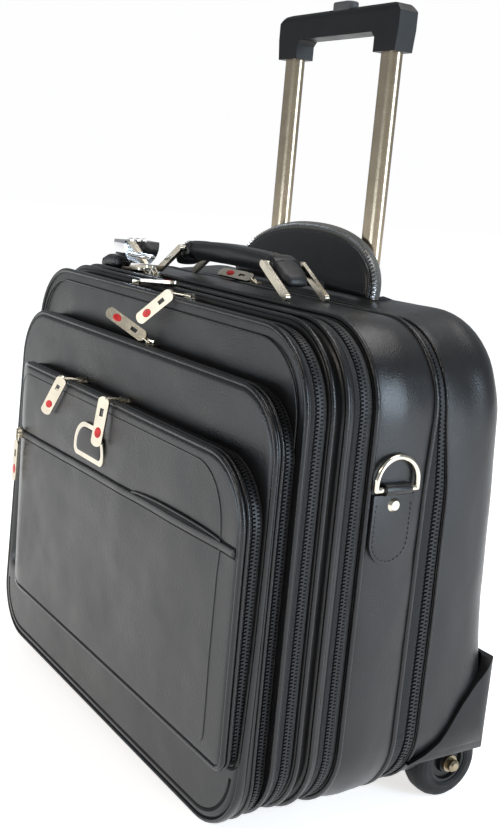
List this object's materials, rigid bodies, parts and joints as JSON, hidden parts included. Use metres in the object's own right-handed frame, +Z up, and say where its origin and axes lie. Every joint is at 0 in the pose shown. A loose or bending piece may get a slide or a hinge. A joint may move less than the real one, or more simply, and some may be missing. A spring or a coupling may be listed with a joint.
{
  "type": "rolling laptop case",
  "caption": "Soft-sided wheeled laptop case with layered zip pockets, telescopic handle, padded carry handle, D-rings and moulded corner wheels.",
  "frame": {"origin": "on the floor under the middle of the case's bounding box", "axes": "+Z up, -Y the pocket face, +X to the right seen from the front"},
  "size_m": [0.4494, 0.2476, 0.5895],
  "materials": {
    "leather": "semi-gloss pebbled",
    "zip_tape": "woven",
    "black_plastic": "satin",
    "button_plastic": "matt",
    "tyre": "matt",
    "champagne_aluminium": "anodised satin",
    "pale_gold": "plated",
    "chrome": "polished"
  },
  "bodies": {
    "case": {"rear_shell": "leather", "main_gusset": "leather", "rear_zip_tape": "zip_tape", "main_zip_tape": "zip_tape", "handle_well": "black_plastic", "corner_guard_left": "black_plastic", "corner_guard_right": "black_plastic", "wheel_axles": "pale_gold", "front_feet": "black_plastic", "outer_tube_left": "champagne_aluminium", "outer_tube_right": "champagne_aluminium", "d_ring_tab_left": "leather", "d_ring_tab_right": "leather", "tab_rivets": "pale_gold"},
    "main_lid": {"front_lid": "leather", "front_zip_tape": "zip_tape"},
    "front_flap": {"front_panel": "leather", "mid_zip_tape": "zip_tape", "mid_pocket": "leather", "small_zip_tape": "zip_tape", "small_pocket": "leather", "badge": "pale_gold"},
    "handle_middle": {"middle_tube_left": "champagne_aluminium", "middle_tube_right": "champagne_aluminium"},
    "handle_top": {"inner_tube_left": "champagne_aluminium", "inner_tube_right": "champagne_aluminium", "grip": "black_plastic"},
    "button": {"release_button": "button_plastic"},
    "well_cover": {"handle_cover": "leather", "handle_cover_zip": "zip_tape"},
    "carry_pad": {"carry_handle_pad": "leather"},
    "bracket_left": {"handle_ring_left": "pale_gold"},
    "bracket_right": {"handle_ring_right": "pale_gold"},
    "dring_left": {"d_ring_left": "pale_gold"},
    "dring_right": {"d_ring_right": "pale_gold"},
    "wheel_left": {"tyre_left": "tyre", "wheel_hub_left": "black_plastic"},
    "wheel_right": {"tyre_right": "tyre", "wheel_hub_right": "black_plastic"},
    "main_zip": {"main_zip_sliders": "pale_gold"},
    "main_pull": {"main_zip_pullers": "pale_gold"},
    "padlock": {"padlock_body": "chrome"},
    "padlock_dial": {"padlock_dials": "chrome"},
    "shackle": {"padlock_shackle": "chrome"},
    "front_zip_right": {"front_zip_right_slider": "pale_gold"},
    "front_zip_right_pull": {"front_zip_right_puller": "pale_gold"},
    "front_zip_left": {"front_zip_left_slider": "pale_gold"},
    "front_zip_left_pull": {"front_zip_left_puller": "pale_gold"},
    "rear_zip_right": {"rear_zip_right_slider": "pale_gold"},
    "rear_zip_right_pull": {"rear_zip_right_puller": "pale_gold"},
    "rear_zip_left": {"rear_zip_left_slider": "pale_gold"},
    "rear_zip_left_pull": {"rear_zip_left_puller": "pale_gold"},
    "mid_zip": {"mid_zip_slider": "pale_gold"},
    "mid_zip_pull": {"mid_zip_puller": "pale_gold"},
    "small_zip_right": {"small_zip_right_slider": "pale_gold"},
    "small_zip_right_pull": {"small_zip_right_puller": "pale_gold"},
    "small_zip_left": {"small_zip_left_slider": "pale_gold"},
    "small_zip_left_pull": {"small_zip_left_puller": "pale_gold"},
    "slash_zip": {"slash_zip_slider": "pale_gold"},
    "slash_zip_pull": {"slash_zip_puller": "pale_gold"}
  },
  "joints": [
    {"name": "main_lid_hinge", "type": "hinge", "parent": "case", "child": "main_lid", "pos_m": [0, -0.0468, 0.0156], "axis": [1, 0, 0], "range_deg": [0, 90]},
    {"name": "front_flap_hinge", "type": "hinge", "parent": "main_lid", "child": "front_flap", "pos_m": [0, -0.0788, 0.0168], "axis": [1, 0, 0], "range_deg": [0, 90]},
    {"name": "handle_lower_stage", "type": "slide", "parent": "case", "child": "handle_middle", "axis": [0, 0, 1], "range_m": [0, 0.22]},
    {"name": "handle_upper_stage", "type": "slide", "parent": "handle_middle", "child": "handle_top", "axis": [0, 0, 1], "range_m": [-0.213, 0.015]},
    {"name": "release_button_press", "type": "slide", "parent": "handle_top", "child": "button", "axis": [0, 0, -1], "range_m": [0, 0.0035], "stiffness_N_per_m": 600, "springref_m": -0.002},
    {"name": "well_cover_hinge", "type": "hinge", "parent": "case", "child": "well_cover", "pos_m": [0, 0.0495, 0.3665], "axis": [1, 0, 0], "range_deg": [0, 55]},
    {"name": "carry_handle_lift", "type": "slide", "parent": "case", "child": "carry_pad", "axis": [0, 0, 1], "range_m": [-0.007, 0.003]},
    {"name": "bracket_right_swing", "type": "hinge", "parent": "case", "child": "bracket_right", "pos_m": [0.096, -0.0085, 0.3655], "axis": [0, 1, 0], "range_deg": [-12.45, 5.51]},
    {"name": "bracket_left_swing", "type": "hinge", "parent": "case", "child": "bracket_left", "pos_m": [-0.096, -0.0085, 0.3655], "axis": [0, 1, 0], "range_deg": [-5.51, 12.45]},
    {"name": "d_ring_right_swing", "type": "hinge", "parent": "case", "child": "dring_right", "pos_m": [0.2207, -0.0115, 0.257], "axis": [0, 1, 0], "range_deg": [0, 140]},
    {"name": "d_ring_left_swing", "type": "hinge", "parent": "case", "child": "dring_left", "pos_m": [-0.2207, -0.0115, 0.257], "axis": [0, 1, 0], "range_deg": [-140, 0]},
    {"name": "wheel_right_spin", "type": "hinge", "parent": "case", "child": "wheel_right", "pos_m": [0.188, 0.091, 0.0293], "axis": [1, 0, 0], "continuous": true},
    {"name": "wheel_left_spin", "type": "hinge", "parent": "case", "child": "wheel_left", "pos_m": [-0.188, 0.091, 0.0293], "axis": [1, 0, 0], "continuous": true},
    {"name": "main_zip_slide", "type": "slide", "parent": "case", "child": "main_zip", "axis": [1, 0, 0], "range_m": [-0.03, 0.01]},
    {"name": "main_puller_swing", "type": "hinge", "parent": "main_zip", "child": "main_pull", "pos_m": [-0.092, -0.0395, 0.36225], "axis": [0, 1, 0], "range_deg": [0, 1.4]},
    {"name": "front_zip_right_slide", "type": "slide", "parent": "front_flap", "child": "front_zip_right", "axis": [1, 0, 0], "range_m": [0, 0.1]},
    {"name": "front_zip_right_puller_swing", "type": "hinge", "parent": "front_zip_right", "child": "front_zip_right_pull", "pos_m": [0.039, -0.0725, 0.35775], "axis": [0.9755, -0.22, 0], "range_deg": [-60, 0]},
    {"name": "front_zip_left_slide", "type": "slide", "parent": "front_flap", "child": "front_zip_left", "axis": [1, 0, 0], "range_m": [-0.08, 0.03]},
    {"name": "front_zip_left_puller_swing", "type": "hinge", "parent": "front_zip_left", "child": "front_zip_left_pull", "pos_m": [-0.047, -0.0725, 0.35775], "axis": [-0.2228, 0.9749, 0], "range_deg": [-60, 0]},
    {"name": "rear_zip_right_slide", "type": "slide", "parent": "case", "child": "rear_zip_right", "axis": [1, 0, 0], "range_m": [-0.001, 0.1]},
    {"name": "rear_zip_right_puller_swing", "type": "hinge", "parent": "rear_zip_right", "child": "rear_zip_right_pull", "pos_m": [-0.026, 0.029, 0.36225], "axis": [0.5145, -0.8575, 0], "range_deg": [-60, 0]},
    {"name": "rear_zip_left_slide", "type": "slide", "parent": "case", "child": "rear_zip_left", "axis": [1, 0, 0], "range_m": [-0.06, 0.001]},
    {"name": "rear_zip_left_puller_swing", "type": "hinge", "parent": "rear_zip_left", "child": "rear_zip_left_pull", "pos_m": [-0.04, 0.029, 0.36225], "axis": [-0.1414, -0.9899, 0], "range_deg": [-22, 0]},
    {"name": "mid_zip_slide", "type": "slide", "parent": "front_flap", "child": "mid_zip", "axis": [1, 0, 0], "range_m": [-0.12, 0]},
    {"name": "mid_zip_puller_swing", "type": "hinge", "parent": "mid_zip", "child": "mid_zip_pull", "pos_m": [0.014, -0.0885, 0.31925], "axis": [0.3443, -0.9389, 0], "range_deg": [-30, 0]},
    {"name": "small_zip_right_slide", "type": "slide", "parent": "front_flap", "child": "small_zip_right", "axis": [1, 0, 0], "range_m": [-0.03, 0.1]},
    {"name": "small_zip_right_puller_swing", "type": "hinge", "parent": "small_zip_right", "child": "small_zip_right_pull", "pos_m": [0.014, -0.1065, 0.27625], "axis": [0.9922, -0.1248, 0], "range_deg": [-60, 0]},
    {"name": "small_zip_left_slide", "type": "slide", "parent": "front_flap", "child": "small_zip_left", "axis": [1, 0, 0], "range_m": [-0.06, 0.03]},
    {"name": "small_zip_left_puller_swing", "type": "hinge", "parent": "small_zip_left", "child": "small_zip_left_pull", "pos_m": [-0.064, -0.1065, 0.27625], "axis": [0.9827, -0.1854, 0], "range_deg": [-60, 0]},
    {"name": "slash_zip_slide", "type": "slide", "parent": "front_flap", "child": "slash_zip", "axis": [1, 0, 0], "range_m": [0, 0.03]},
    {"name": "slash_zip_puller_swing", "type": "hinge", "parent": "slash_zip", "child": "slash_zip_pull", "pos_m": [-0.158, -0.12175, 0.211], "axis": [0.9963, 0, -0.0854], "range_deg": [-60, 0]},
    {"name": "padlock_swing", "type": "hinge", "parent": "main_pull", "child": "padlock", "pos_m": [-0.096, -0.0375, 0.3746], "axis": [0, 1, 0], "range_deg": [0, 30]},
    {"name": "shackle_slide", "type": "slide", "parent": "padlock", "child": "shackle", "axis": [1, 0, 0], "range_m": [0, 0.006]},
    {"name": "padlock_dial_turn", "type": "hinge", "parent": "padlock", "child": "padlock_dial", "pos_m": [-0.12, -0.0375, 0.3842], "axis": [0, 1, 0], "continuous": true}
  ],
  "couplings": [
    {"joint": "bracket_right_swing", "follows": "carry_handle_lift", "rad_per_m": 30.303},
    {"joint": "bracket_left_swing", "follows": "carry_handle_lift", "rad_per_m": -30.303}
  ]
}
